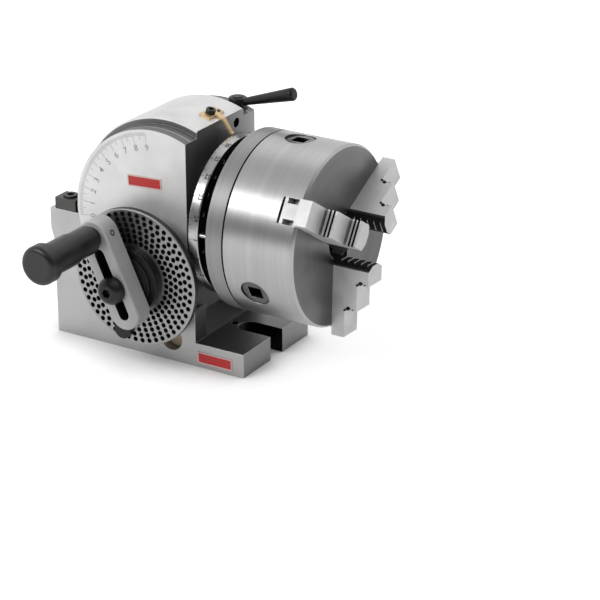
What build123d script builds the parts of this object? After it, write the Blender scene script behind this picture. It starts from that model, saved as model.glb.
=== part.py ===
from build123d import *
from math import cos, pi, radians, sin, sqrt, tan
import os

os.makedirs("parts", exist_ok=True)

# A tilting dividing head with a self-centring chuck. X runs along the spindle to
# the chuck, Y across with the index plate on the minus side, Z up from the seat.
# The tilt axis crosses the spindle axis above the origin.

# Driving dimensions
under_cradle = 34.65
flange_radius = 65.3
drum_step = 4.7
base_width = 85.7
foot_thickness = 17.6
cheek_thickness = 13.8
lug_length = 38.7
nose_x = 25.5
chuck_diameter = 125.0
chuck_length = 54.0
plate_radius = 49.0
hole_counts = (49, 47, 43, 41, 39, 37)
crank_lean = 25.0
jaw_opening = 14.5
jaw_steps = ((13.5, 27.0), (19.5, 18.5), (20.0, 9.5))

# Fits and clearances
running_fit = 0.05
location_fit = 0.02
slide_fit = 0.1
free_gap = 0.3
screw_gap = 0.2

# Cradle and clamp blocks set the base's reach
cradle_radius = flange_radius + running_fit
centre_height = under_cradle + cradle_radius
cheek_inner = base_width / 2 - cheek_thickness
block_gap = 2.3
block_length = 17.2
block_height = 8.4
block_front = -flange_radius - block_gap
block_rear = block_front - block_length
block_x = (block_front + block_rear) / 2
block_y = base_width / 2 - cheek_thickness / 2
clamp_screw_radius = 3.0
clamp_head_radius = 5.0
clamp_head_height = 5.5
counterbore_depth = 4.0
clamp_screw_depth = 16.0
hex_key_radius = 2.9

# Base
block_margin = 1.9
base_rear = block_rear - block_margin
pad_bulge = 2.4
pad_rear = base_rear - pad_bulge
pad_height = 15.5
pad_blend = 8.0
cheek_margin = 5.0
cheek_front = nose_x + cheek_margin
base_front = cheek_front + lug_length
post_drop = 6.5
post_top = centre_height - post_drop
slot_width = 16.0
front_slot_length = 22.0
rear_slot_length = 24.7
front_slot_end = base_front - front_slot_length
rear_slot_end = base_rear + rear_slot_length
lug_corner = 1.0
lug_hole_inset = 4.7
lug_hole_radius = 2.5
lug_hole_depth = 11.0
plug_x = 10.7
plug_z = 16.6
plug_radius = 8.75
plug_recess = 8.0

# Swivelling housing
drum_radius = flange_radius + drum_step
drum_half_width = cheek_inner - running_fit
drum_chamfer = 1.2
front_bore = 28.0
cavity_rear = -17.8
rear_bore = 17.0
rear_wall = 6.0
rear_face = rear_wall - drum_radius
spot_face_radius = 24.0
nose_hole_radius = 3.5
nose_hole_y = 19.8
nose_hole_inset = 8.0
nose_hole_z = centre_height + flange_radius - nose_hole_inset
nose_hole_depth = 10.0
cut_run_out = 10.0

# Spindle and its bearings
spindle_bore = 9.0
front_journal = 20.0
rear_journal = 13.0
bearing_inner = 3.0
bearing_flange_radius = 40.0
bearing_flange = 6.0
bearing_face = nose_x + bearing_flange
collar_x = bearing_face + free_gap
collar_width = 3.0
collar_radius = 30.0
dial_rear = collar_x + collar_width
dial_inset = 9.3
dial_radius = flange_radius - dial_inset
dial_seat = 24.0
dial_width = 7.8
dial_front = dial_rear + dial_width
dial_edge = 0.6
dial_hole_count = 24
dial_hole_inset = 5.0
dial_hole_circle = dial_radius - dial_hole_inset
dial_hole_radius = 1.4
dial_hole_depth = 5.0
dial_hole_start = 146.7
nose_register = 20.0
nose_pilot = 18.0
pilot_length = 8.1
spindle_thread = 11.5
nut_radius = 20.0
nut_width = 8.0
nut_chamfer = 1.0
thread_run = 5.0
spindle_rear = rear_face - free_gap - nut_width - thread_run

# Worm drive: one start on forty teeth
gear_module = 1.25
tooth_count = 40
worm_pitch_radius = 10.0
worm_x = -5.5
wheel_pitch_radius = gear_module * tooth_count / 2
worm_z = centre_height - wheel_pitch_radius - worm_pitch_radius
wheel_radius = wheel_pitch_radius + gear_module
wheel_seat = 18.0
wheel_width = 14.0
wheel_rear = worm_x - wheel_width / 2
wheel_front = worm_x + wheel_width / 2
depth_in_modules = 2.25
root_in_modules = 1.28
tooth_depth = depth_in_modules * gear_module
tooth_run_out = 0.2
pressure_angle = 20.0
worm_root_radius = worm_pitch_radius - root_in_modules * gear_module
worm_bore = 16.0
worm_journal = 7.0
worm_far_bore = 22.0
worm_half_length = worm_far_bore - free_gap
worm_far_end = 37.0

# Index plate, its bush and the sector arms
head_face = base_width / 2
bush_flange_radius = 24.0
plate_gap = 0.8
plate_back = dial_radius + plate_gap
plate_thickness = 5.0
plate_edge = 0.6
plate_front = plate_back + plate_thickness
bush_spigot = 14.0
plate_margin = 3.5
outer_circle = plate_radius - plate_margin
circle_step = 3.85
index_hole_radius = 1.5
crank_circle = outer_circle - 2 * circle_step
arm_layer = 3.0
sector_hub_radius = 22.5
sector_tip = 40.5
sector_tip_radius = 6.5
sector_root_width = 13.0
sector_a_angle = -103.0
sector_b_angle = 117.0
sector_a_back = plate_front + free_gap
sector_b_back = sector_a_back + arm_layer + free_gap
sector_b_front = sector_b_back + arm_layer
ring_back = sector_b_front + free_gap
ring_thickness = 1.4
spring_ring_radius = 17.5
bush_front = ring_back + ring_thickness

# Crank, its nut and the index plunger
arm_stand_off = 1.9
arm_back = bush_front + arm_stand_off
arm_thickness = 14.0
arm_front = arm_back + arm_thickness
arm_radius = 11.5
arm_edge = 0.8
arm_tail = 17.9
arm_slot_width = 8.0
arm_slot_reach = 25.0
arm_slot_tail = 18.4
crank_nut_height = 8.5
tongue_inset = 5.0
tongue_end = arm_front + crank_nut_height - tongue_inset
nut_dome_radius = 9.5
nut_rounding = 5.5
nut_key_radius = 3.4
nut_key_depth = 3.5
sleeve_radius = 6.0
sleeve_collar_radius = 8.5
sleeve_collar = 1.5
sleeve_back = arm_back - sleeve_collar
plunger_radius = 3.0
pin_tip_radius = 1.4
pin_tip_length = 4.0
pin_taper = 1.0
pin_end = sector_b_front + 2 * free_gap
knob_radius = 11.0
knob_cap_radius = 13.5
knob_start = arm_front + free_gap
knob_length = 60.7
knob_grip_length = 25.0
knob_step = 1.0
knob_cap_length = 13.0
knob_flare = 3.0
knob_rounding = 2.0
knob_end_rounding = 4.0
knob_neck_radius = 7.5
knob_neck_length = 3.0

# Chuck
chuck_radius = chuck_diameter / 2
adaptor_hub_radius = 32.0
adaptor_gap = 10.0
adaptor_rear = dial_front + adaptor_gap
adaptor_thickness = 13.5
adaptor_chamfer = 0.8
chuck_rear = adaptor_rear + adaptor_thickness
register_end = chuck_rear - pilot_length
chuck_front = chuck_rear + chuck_length
chuck_bore = 16.0
chuck_edge = 1.5
seam = 0.7
scroll_hub = 24.0
chuck_wall = 12.5
cavity_radius = chuck_radius - chuck_wall
way_floor = 6.9
jaw_slot_depth = 15.1
jaw_floor_gap = 1.5
jaw_base_inset = 0.5
scroll_front = chuck_front - jaw_slot_depth - way_floor - free_gap
scroll_thickness = 14.7
scroll_clearance = 2.0
scroll_radius = cavity_radius - scroll_clearance
cover_front = scroll_front - scroll_thickness - free_gap
jaw_slot_width = 18.0
rib_depth = 3.6
rib_rear_depth = 11.1
rib_front_depth = 2.0
rib_set_back = 8.0
chuck_turn = -2.5
jaw_angles = (30 + chuck_turn, 150 + chuck_turn, 270 + chuck_turn)
pinion_angles = (90 + chuck_turn, 210 + chuck_turn, 330 + chuck_turn)
pinion_radius = 10.5
pinion_x = scroll_front - pinion_radius - free_gap
pinion_inner = cavity_radius + free_gap
pinion_sink = 1.2
pinion_edge = 0.7
pinion_outer = chuck_radius - pinion_sink
socket_size = 10.0
socket_depth = 9.0
jaw_nose_width = 7.0
jaw_nose_slope = 30.0
jaw_relief = 1.2
jaw_groove = 1.5
jaw_groove_shares = (0.42, 0.72)
grip_groove_radius = 1.2
grip_groove_pitch = 5.0
grip_groove_count = 5
dial_pin_radius = 1.5
dial_pin_inset = 3.0
dial_pin_circle = dial_radius - dial_pin_inset
dial_pin_angle = 177.0

# Pointer over the dial and the spindle lock
pointer_rear = 14.0
pointer_front = 22.0
pointer_near = -8.5
pointer_far = 9.8
pointer_middle = 18.0
pointer_bed = 0.3
pointer_thickness = 1.6
pointer_bend = 1.0
tongue_y = 2.0
tongue_width = 4.4
tip_y = 0.3
tip_width = 2.6
pointer_reach = 0.8
pointer_tip = dial_rear + pointer_reach
pointer_tip_height = 1.2
pointer_gap = 0.4
pointer_lift = dial_radius + pointer_gap
lock_x = 16.0
lock_inset = 6.35
lock_y = base_width / 2 - lock_inset
lock_sink = 6.3
lock_seat = flange_radius - lock_sink
lock_seat_radius = 6.8
lock_stud_radius = 3.5
lock_stud_depth = 10.0
lock_stud_end = 2.0
lock_washer_radius = 6.5
lock_washer_height = 1.5
lock_hub_radius = 6.5
lock_hub_height = 9.0
lock_hub_edge = 1.5
lever_length = 48.0
lever_rise = 17.0
lever_root_radius = 2.4
lever_tip_radius = 4.8
lever_rounding = 2.0

spindle_axis = Axis((0, 0, centre_height), (1, 0, 0))
worm_axis = Axis((worm_x, 0, worm_z), (0, 1, 0))


def spindle_section(*points):
    # Half section through the spindle axis, as (x, radius) pairs.
    with BuildSketch(Plane.XZ) as section:
        with BuildLine():
            Polyline(*[(x, centre_height + r) for x, r in points], close=True)
        make_face()
    return section.sketch


def worm_section(*points):
    # Half section through the worm axis, as (distance to the front, radius) pairs.
    with BuildSketch(Plane.YZ.offset(worm_x)) as section:
        with BuildLine():
            Polyline(*[(-out, worm_z + r) for out, r in points], close=True)
        make_face()
    return section.sketch


def plunger_place():
    # Where the plunger's axis stands, on its hole circle.
    turn = radians(90 + crank_lean)
    return worm_x + crank_circle * cos(turn), worm_z + crank_circle * sin(turn)


def plunger_section(*points):
    # Half section through the plunger's axis, as (distance to the front, radius) pairs.
    x, z = plunger_place()
    with BuildSketch(Plane.YZ.offset(x)) as section:
        with BuildLine():
            Polyline(*[(-out, z + r) for out, r in points], close=True)
        make_face()
    return section.sketch


def front_plane(out, x, z, angle=0):
    # A plane facing the front, at this distance from the middle, turned from level.
    turn = radians(angle)
    return Plane(origin=(x, -out, z), x_dir=(cos(turn), 0, sin(turn)), z_dir=(0, -1, 0))


def radial_section(angle):
    # Cuts the chuck along its axis: local x runs with the spindle, local y outwards.
    turn = radians(angle)
    return Plane((0, 0, centre_height), (1, 0, 0), (0, -sin(turn), cos(turn)))


def radial_face(angle, x):
    # Looks along the chuck's axis: local y runs outwards at this angle.
    turn = radians(angle)
    return Plane((x, 0, centre_height), (0, sin(turn), -cos(turn)), (1, 0, 0))


def pointer_line(x):
    # Height of the pointer's tilted bed on the drum, a touch under its tangent.
    crown = sqrt(drum_radius**2 - pointer_middle**2)
    return centre_height + crown - pointer_bed - pointer_middle / crown * (x - pointer_middle)


def save(piece, name):
    piece.part.label = name
    export_step(piece.part, f"parts/{name}.step")


# Base casting: foot, two cheeks with the cradle, hold-down slots
with BuildPart() as base:
    with BuildSketch(Plane.XY):
        with Locations(((base_front + base_rear) / 2, 0)):
            Rectangle(base_front - base_rear, base_width)
    extrude(amount=foot_thickness)
    fillet(base.edges().filter_by(Axis.Z).group_by(Axis.X)[-1], lug_corner)
    with BuildSketch(Plane.XZ.offset(cheek_inner)):
        with BuildLine():
            Polyline(
                (base_rear, 0),
                (cheek_front, 0),
                (cheek_front, post_top),
                (pad_rear, post_top),
                (pad_rear, post_top - pad_height),
                (base_rear, post_top - pad_height - pad_blend),
                close=True,
            )
        make_face()
        with Locations((0, centre_height)):
            Circle(cradle_radius, mode=Mode.SUBTRACT)
    extrude(amount=cheek_thickness)
    mirror(about=Plane.XZ)
    with BuildSketch(Plane.XY):
        for end, edge in ((front_slot_end, base_front), (rear_slot_end, base_rear)):
            with Locations((end, 0)):
                Circle(slot_width / 2)
            with Locations(((end + edge) / 2, 0)):
                Rectangle(abs(edge - end), slot_width)
    extrude(amount=foot_thickness, mode=Mode.SUBTRACT)
    with BuildSketch(front_plane(base_width / 2, plug_x, plug_z)):
        Circle(plug_radius)
    extrude(amount=-cheek_thickness, mode=Mode.SUBTRACT)
    with Locations((cheek_front + lug_hole_inset, 0, foot_thickness)):
        Hole(lug_hole_radius, lug_hole_depth)
    with Locations((block_x, -block_y, post_top), (block_x, block_y, post_top)):
        Hole(clamp_screw_radius + screw_gap, clamp_screw_depth)
save(base, "base")

# Brass plug deep in the front cheek's bore
with BuildPart() as base_plug:
    with BuildSketch(front_plane(base_width / 2 - plug_recess, plug_x, plug_z)):
        Circle(plug_radius - location_fit)
    extrude(amount=-(cheek_thickness - plug_recess))
save(base_plug, "base_plug")

# A clamp block and its cap screw on each rear post
for side, name in ((-1, "front"), (1, "rear")):
    with BuildPart() as block:
        with BuildSketch(Plane.XY.offset(post_top)):
            with Locations((block_x, side * block_y)):
                Rectangle(block_front - block_rear, cheek_thickness - 2 * free_gap)
        extrude(amount=block_height)
        with Locations((block_x, side * block_y, post_top + block_height)):
            CounterBoreHole(clamp_screw_radius + screw_gap, clamp_head_radius + screw_gap, counterbore_depth)
    save(block, f"clamp_block_{name}")

    with BuildPart() as screw:
        seat = post_top + block_height - counterbore_depth
        with BuildSketch(Plane.XY.offset(seat)):
            with Locations((block_x, side * block_y)):
                Circle(clamp_head_radius)
        extrude(amount=clamp_head_height)
        with BuildSketch(Plane.XY.offset(seat)):
            with Locations((block_x, side * block_y)):
                Circle(clamp_screw_radius)
        extrude(amount=-(block_height - counterbore_depth + clamp_screw_depth - free_gap))
        with BuildSketch(Plane.XY.offset(seat + clamp_head_height)):
            with Locations((block_x, side * block_y)):
                RegularPolygon(hex_key_radius, 6)
        extrude(amount=-clamp_head_height / 2, mode=Mode.SUBTRACT)
    save(screw, f"clamp_screw_{name}")

# Swivelling housing: drum between the cheeks, a flange in each cradle, flat nose
with BuildPart() as swivel_housing:
    with BuildSketch(front_plane(0, 0, centre_height)):
        Circle(drum_radius)
    extrude(amount=drum_half_width, both=True)
    chamfer(swivel_housing.edges().filter_by(GeomType.CIRCLE), drum_chamfer)
    with BuildSketch(front_plane(0, 0, centre_height)):
        Circle(flange_radius)
    extrude(amount=base_width / 2, both=True)
    split(bisect_by=Plane.YZ.offset(nose_x), keep=Keep.BOTTOM)
    bores = (
        (nose_x, cavity_rear, front_bore),
        (cavity_rear, rear_face - rear_wall - cut_run_out, rear_bore),
        (rear_face, rear_face - rear_wall - cut_run_out, spot_face_radius),
    )
    for start, end, radius in bores:
        with BuildSketch(Plane((start, 0, centre_height), (0, 1, 0), (1, 0, 0))):
            Circle(radius)
        extrude(amount=end - start, mode=Mode.SUBTRACT)
    with BuildSketch(front_plane(head_face, worm_x, worm_z)):
        Circle(worm_bore)
    extrude(amount=-(head_face + worm_far_bore), mode=Mode.SUBTRACT)
    with BuildSketch(front_plane(-worm_far_bore, worm_x, worm_z)):
        Circle(worm_journal + running_fit)
    extrude(amount=-(worm_far_end - worm_far_bore), mode=Mode.SUBTRACT)
    with BuildSketch(Plane((nose_x, nose_hole_y, nose_hole_z), (0, 1, 0), (1, 0, 0))):
        Circle(nose_hole_radius)
    extrude(amount=-nose_hole_depth, mode=Mode.SUBTRACT)
    with BuildSketch(Plane.XZ.offset(-pointer_far)):
        with BuildLine():
            Polyline(
                (pointer_rear, pointer_line(pointer_rear)),
                (nose_x, pointer_line(nose_x)),
                (nose_x, pointer_line(pointer_rear) + pointer_thickness),
                (pointer_rear, pointer_line(pointer_rear) + pointer_thickness),
                close=True,
            )
        make_face()
    extrude(amount=pointer_far - pointer_near, mode=Mode.SUBTRACT)
    with BuildSketch(Plane.XY.offset(centre_height + lock_seat)):
        with Locations((lock_x, lock_y)):
            Circle(lock_seat_radius)
    extrude(amount=lock_sink + drum_step, mode=Mode.SUBTRACT)
    with BuildSketch(Plane.XY.offset(centre_height + lock_seat)):
        with Locations((lock_x, lock_y)):
            Circle(lock_stud_radius + location_fit)
    extrude(amount=-lock_stud_depth, mode=Mode.SUBTRACT)
save(swivel_housing, "swivel_housing")

# Spindle bearings
with BuildPart() as front_bearing:
    bore = front_journal + running_fit
    barrel = front_bore - location_fit
    revolve(
        spindle_section(
            (bearing_inner, bore),
            (bearing_face, bore),
            (bearing_face, bearing_flange_radius),
            (nose_x, bearing_flange_radius),
            (nose_x, barrel),
            (bearing_inner, barrel),
        ),
        axis=spindle_axis,
    )
save(front_bearing, "front_bearing")

with BuildPart() as rear_bearing:
    bore = rear_journal + running_fit
    barrel = rear_bore - location_fit
    revolve(
        spindle_section(
            (rear_face, bore),
            (cavity_rear, bore),
            (cavity_rear, barrel),
            (rear_face, barrel),
        ),
        axis=spindle_axis,
    )
save(rear_bearing, "rear_bearing")

# Hollow spindle, stepped from the rear thread to the nose pilot
with BuildPart() as spindle:
    revolve(
        spindle_section(
            (spindle_rear, spindle_bore),
            (chuck_rear, spindle_bore),
            (chuck_rear, nose_pilot),
            (register_end, nose_pilot),
            (register_end, nose_register),
            (dial_front, nose_register),
            (dial_front, dial_seat),
            (dial_rear, dial_seat),
            (dial_rear, collar_radius),
            (collar_x, collar_radius),
            (collar_x, front_journal),
            (wheel_front, front_journal),
            (wheel_front, wheel_seat),
            (wheel_rear, wheel_seat),
            (wheel_rear, rear_journal),
            (rear_face - free_gap, rear_journal),
            (rear_face - free_gap, spindle_thread),
            (spindle_rear, spindle_thread),
        ),
        axis=spindle_axis,
    )
save(spindle, "spindle")

with BuildPart() as rear_nut:
    nut_face = rear_face - free_gap
    revolve(
        spindle_section(
            (nut_face - nut_width, spindle_thread + location_fit),
            (nut_face, spindle_thread + location_fit),
            (nut_face, nut_radius),
            (nut_face - nut_width + nut_chamfer, nut_radius),
            (nut_face - nut_width, nut_radius - nut_chamfer),
        ),
        axis=spindle_axis,
    )
save(rear_nut, "rear_nut")

# Worm wheel with its teeth cut across the rim
with BuildPart() as worm_wheel:
    with BuildSketch(radial_face(90, wheel_rear)):
        Circle(wheel_radius)
        Circle(wheel_seat + location_fit, mode=Mode.SUBTRACT)
        rim_gap = pi * gear_module / 2 + 2 * (gear_module + tooth_run_out) * tan(radians(pressure_angle))
        with PolarLocations(wheel_radius + tooth_run_out - tooth_depth / 2, tooth_count):
            Trapezoid(rim_gap, tooth_depth, 90 - pressure_angle, rotation=90, mode=Mode.SUBTRACT)
    extrude(amount=wheel_width)
save(worm_wheel, "worm_wheel")

# Flanged worm bush, which also carries the index plate and the sector arms
with BuildPart() as worm_bush:
    bore = worm_journal + running_fit
    barrel = worm_bore - location_fit
    revolve(
        worm_section(
            (worm_far_bore, bore),
            (bush_front, bore),
            (bush_front, bush_spigot),
            (plate_back, bush_spigot),
            (plate_back, bush_flange_radius),
            (head_face, bush_flange_radius),
            (head_face, barrel),
            (worm_far_bore, barrel),
        ),
        axis=worm_axis,
    )
save(worm_bush, "worm_bush")

# Index plate with six circles of drilled holes
with BuildPart() as index_plate:
    with BuildSketch(front_plane(plate_back, worm_x, worm_z)):
        Circle(plate_radius)
        Circle(bush_spigot + location_fit, mode=Mode.SUBTRACT)
        for row, count in enumerate(hole_counts):
            with PolarLocations(outer_circle - row * circle_step, count, start_angle=90 + crank_lean):
                Circle(index_hole_radius, mode=Mode.SUBTRACT)
    extrude(amount=plate_thickness)
    rim = index_plate.edges().filter_by(GeomType.CIRCLE).group_by(SortBy.RADIUS)[-1]
    chamfer(rim, plate_edge)
save(index_plate, "index_plate")

# Two sector arms in two layers, which turn on the bush's spigot
for name, back, angle in (
    ("sector_arm_a", sector_a_back, sector_a_angle),
    ("sector_arm_b", sector_b_back, sector_b_angle),
):
    with BuildPart() as sector_arm:
        with BuildSketch(front_plane(back, worm_x, worm_z, angle)):
            Circle(sector_hub_radius)
            with BuildLine():
                Polyline(
                    (0, -sector_root_width / 2),
                    (sector_tip, -sector_tip_radius),
                    (sector_tip, sector_tip_radius),
                    (0, sector_root_width / 2),
                    close=True,
                )
            make_face()
            with Locations((sector_tip, 0)):
                Circle(sector_tip_radius)
            Circle(bush_spigot + running_fit, mode=Mode.SUBTRACT)
        extrude(amount=arm_layer)
    save(sector_arm, name)

with BuildPart() as spring_ring:
    revolve(
        worm_section(
            (ring_back, bush_spigot),
            (bush_front, bush_spigot),
            (bush_front, spring_ring_radius),
            (ring_back, spring_ring_radius),
        ),
        axis=worm_axis,
    )
save(spring_ring, "spring_ring")

# Worm shaft from its far journal to the tongue that drives the crank
with BuildPart() as worm_shaft:
    revolve(
        worm_section(
            (-(worm_far_end - free_gap), 0),
            (-(worm_far_end - free_gap), worm_journal),
            (-worm_half_length, worm_journal),
            (-worm_half_length, worm_root_radius),
            (worm_half_length, worm_root_radius),
            (worm_half_length, worm_journal),
            (arm_back, worm_journal),
            (arm_back, arm_slot_width / 2),
            (tongue_end, arm_slot_width / 2),
            (tongue_end, 0),
        ),
        axis=worm_axis,
    )
save(worm_shaft, "worm_shaft")

# Slotted crank arm, leaning towards the rear
with BuildPart() as crank_arm:
    with BuildSketch(front_plane(arm_back, worm_x, worm_z, 90 + crank_lean)):
        with Locations(((crank_circle - arm_tail) / 2, 0)):
            SlotCenterToCenter(crank_circle + arm_tail, 2 * arm_radius)
        with Locations(((arm_slot_reach - arm_slot_tail) / 2, 0)):
            slot_length = arm_slot_reach + arm_slot_tail
            SlotCenterToCenter(slot_length, arm_slot_width + 2 * location_fit, mode=Mode.SUBTRACT)
        with Locations((crank_circle, 0)):
            Circle(sleeve_radius + location_fit, mode=Mode.SUBTRACT)
    extrude(amount=arm_thickness)
    chamfer(crank_arm.faces().sort_by(Axis.Y)[0].outer_wire().edges(), arm_edge)
save(crank_arm, "crank_arm")

with BuildPart() as crank_nut:
    hole = arm_slot_width / 2 + location_fit
    nut_end = arm_front + crank_nut_height
    blind_end = tongue_end + free_gap
    revolve(
        worm_section(
            (arm_front, hole),
            (arm_front, nut_dome_radius),
            (nut_end, nut_dome_radius),
            (nut_end, 0),
            (blind_end, 0),
            (blind_end, hole),
        ),
        axis=worm_axis,
    )
    fillet(crank_nut.edges().filter_by(GeomType.CIRCLE).sort_by(Axis.Y)[0], nut_rounding)
    with BuildSketch(front_plane(nut_end, worm_x, worm_z)):
        RegularPolygon(nut_key_radius, 6)
    extrude(amount=-nut_key_depth, mode=Mode.SUBTRACT)
save(crank_nut, "crank_nut")

with BuildPart() as plunger_sleeve:
    bore = plunger_radius + running_fit
    revolve(
        plunger_section(
            (sleeve_back, bore),
            (sleeve_back, sleeve_collar_radius),
            (arm_back, sleeve_collar_radius),
            (arm_back, sleeve_radius),
            (arm_front, sleeve_radius),
            (arm_front, bore),
        ),
        axis=Axis((plunger_place()[0], 0, plunger_place()[1]), (0, 1, 0)),
    )
save(plunger_sleeve, "plunger_sleeve")

# Index plunger: a pin with a fine tip, and the long knob that pulls it
with BuildPart() as plunger_pin:
    revolve(
        plunger_section(
            (pin_end, 0),
            (pin_end, pin_tip_radius),
            (pin_end + pin_tip_length, pin_tip_radius),
            (pin_end + pin_tip_length + pin_taper, plunger_radius),
            (knob_start, plunger_radius),
            (knob_start, 0),
        ),
        axis=Axis((plunger_place()[0], 0, plunger_place()[1]), (0, 1, 0)),
    )
save(plunger_pin, "plunger_pin")

with BuildPart() as plunger_knob:
    knob_end = knob_start + knob_length
    ring_at = knob_start + knob_grip_length
    neck_end = knob_start + knob_neck_length
    cap_start = knob_end - knob_cap_length
    revolve(
        plunger_section(
            (knob_start, 0),
            (knob_start, knob_neck_radius),
            (neck_end, knob_neck_radius),
            (neck_end + knob_rounding, knob_radius - knob_step),
            (ring_at, knob_radius - knob_step),
            (ring_at, knob_radius),
            (cap_start, knob_radius),
            (cap_start + knob_flare, knob_cap_radius),
            (knob_end, knob_cap_radius),
            (knob_end, 0),
        ),
        axis=Axis((plunger_place()[0], 0, plunger_place()[1]), (0, 1, 0)),
    )
    fillet(plunger_knob.edges().filter_by(GeomType.CIRCLE).sort_by(Axis.Y)[0], knob_end_rounding)
save(plunger_knob, "plunger_knob")

# Direct-index dial on the spindle, with its ring of holes
with BuildPart() as dial:
    revolve(
        spindle_section(
            (dial_rear, dial_seat + location_fit),
            (dial_front, dial_seat + location_fit),
            (dial_front, dial_radius - dial_edge),
            (dial_front - dial_edge, dial_radius),
            (dial_rear + dial_edge, dial_radius),
            (dial_rear, dial_radius - dial_edge),
        ),
        axis=spindle_axis,
    )
    with BuildSketch(Plane((dial_front, 0, centre_height), (0, 1, 0), (1, 0, 0))):
        with PolarLocations(dial_hole_circle, dial_hole_count, start_angle=dial_hole_start):
            Circle(dial_hole_radius)
    extrude(amount=-dial_hole_depth, mode=Mode.SUBTRACT)
save(dial, "dial")

with BuildPart() as dial_pin:
    with BuildSketch(Plane((dial_front, 0, centre_height), (0, 1, 0), (1, 0, 0))):
        with PolarLocations(dial_pin_circle, 1, start_angle=dial_pin_angle):
            Circle(dial_pin_radius)
    extrude(amount=adaptor_rear - dial_front)
save(dial_pin, "dial_pin")

# Adaptor plate between the spindle nose and the chuck
with BuildPart() as adaptor_plate:
    register = nose_register + location_fit
    pilot = nose_pilot + location_fit
    revolve(
        spindle_section(
            (dial_front, register),
            (register_end, register),
            (register_end, pilot),
            (chuck_rear, pilot),
            (chuck_rear, chuck_radius - seam),
            (chuck_rear - seam, chuck_radius),
            (adaptor_rear + adaptor_chamfer, chuck_radius),
            (adaptor_rear, chuck_radius - adaptor_chamfer),
            (adaptor_rear, adaptor_hub_radius),
            (dial_front, adaptor_hub_radius),
        ),
        axis=spindle_axis,
    )
save(adaptor_plate, "adaptor_plate")

# Chuck body: jaw ways in the face, pinion bores in the rim, room for the scroll
with BuildPart() as chuck_body:
    revolve(
        spindle_section(
            (chuck_rear, chuck_bore),
            (chuck_front, chuck_bore),
            (chuck_front, chuck_radius - chuck_edge),
            (chuck_front - chuck_edge, chuck_radius),
            (chuck_rear + seam, chuck_radius),
            (chuck_rear, chuck_radius - seam),
            (chuck_rear, cavity_radius),
            (scroll_front + free_gap, cavity_radius),
            (scroll_front + free_gap, scroll_hub),
            (chuck_rear, scroll_hub),
        ),
        axis=spindle_axis,
    )
    rib_end = chuck_radius - rib_set_back
    neck_width = jaw_slot_width - 2 * rib_depth
    ways = (
        (0, jaw_slot_depth, neck_width, 0),
        (0, rib_front_depth, jaw_slot_width, 0),
        (rib_rear_depth, jaw_slot_depth, jaw_slot_width, 0),
        (0, jaw_slot_depth, jaw_slot_width, rib_end),
    )
    for angle in jaw_angles:
        for top, bottom, width, inner in ways:
            with BuildSketch(radial_face(angle, chuck_front - top)):
                with Locations((0, (inner + chuck_radius) / 2)):
                    Rectangle(width, chuck_radius - inner)
            extrude(amount=top - bottom, mode=Mode.SUBTRACT)
    for angle in pinion_angles:
        with BuildSketch(Plane(radial_section(angle).origin, (1, 0, 0), radial_section(angle).y_dir)):
            with Locations((pinion_x, 0)):
                Circle(pinion_radius + running_fit)
        extrude(amount=chuck_radius, mode=Mode.SUBTRACT)
save(chuck_body, "chuck_body")

with BuildPart() as scroll_plate:
    revolve(
        spindle_section(
            (scroll_front - scroll_thickness, scroll_hub + running_fit),
            (scroll_front, scroll_hub + running_fit),
            (scroll_front, scroll_radius),
            (scroll_front - scroll_thickness, scroll_radius),
        ),
        axis=spindle_axis,
    )
save(scroll_plate, "scroll_plate")

with BuildPart() as chuck_cover:
    revolve(
        spindle_section(
            (chuck_rear, scroll_hub + location_fit),
            (cover_front, scroll_hub + location_fit),
            (cover_front, cavity_radius - location_fit),
            (chuck_rear, cavity_radius - location_fit),
        ),
        axis=spindle_axis,
    )
save(chuck_cover, "chuck_cover")

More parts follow.
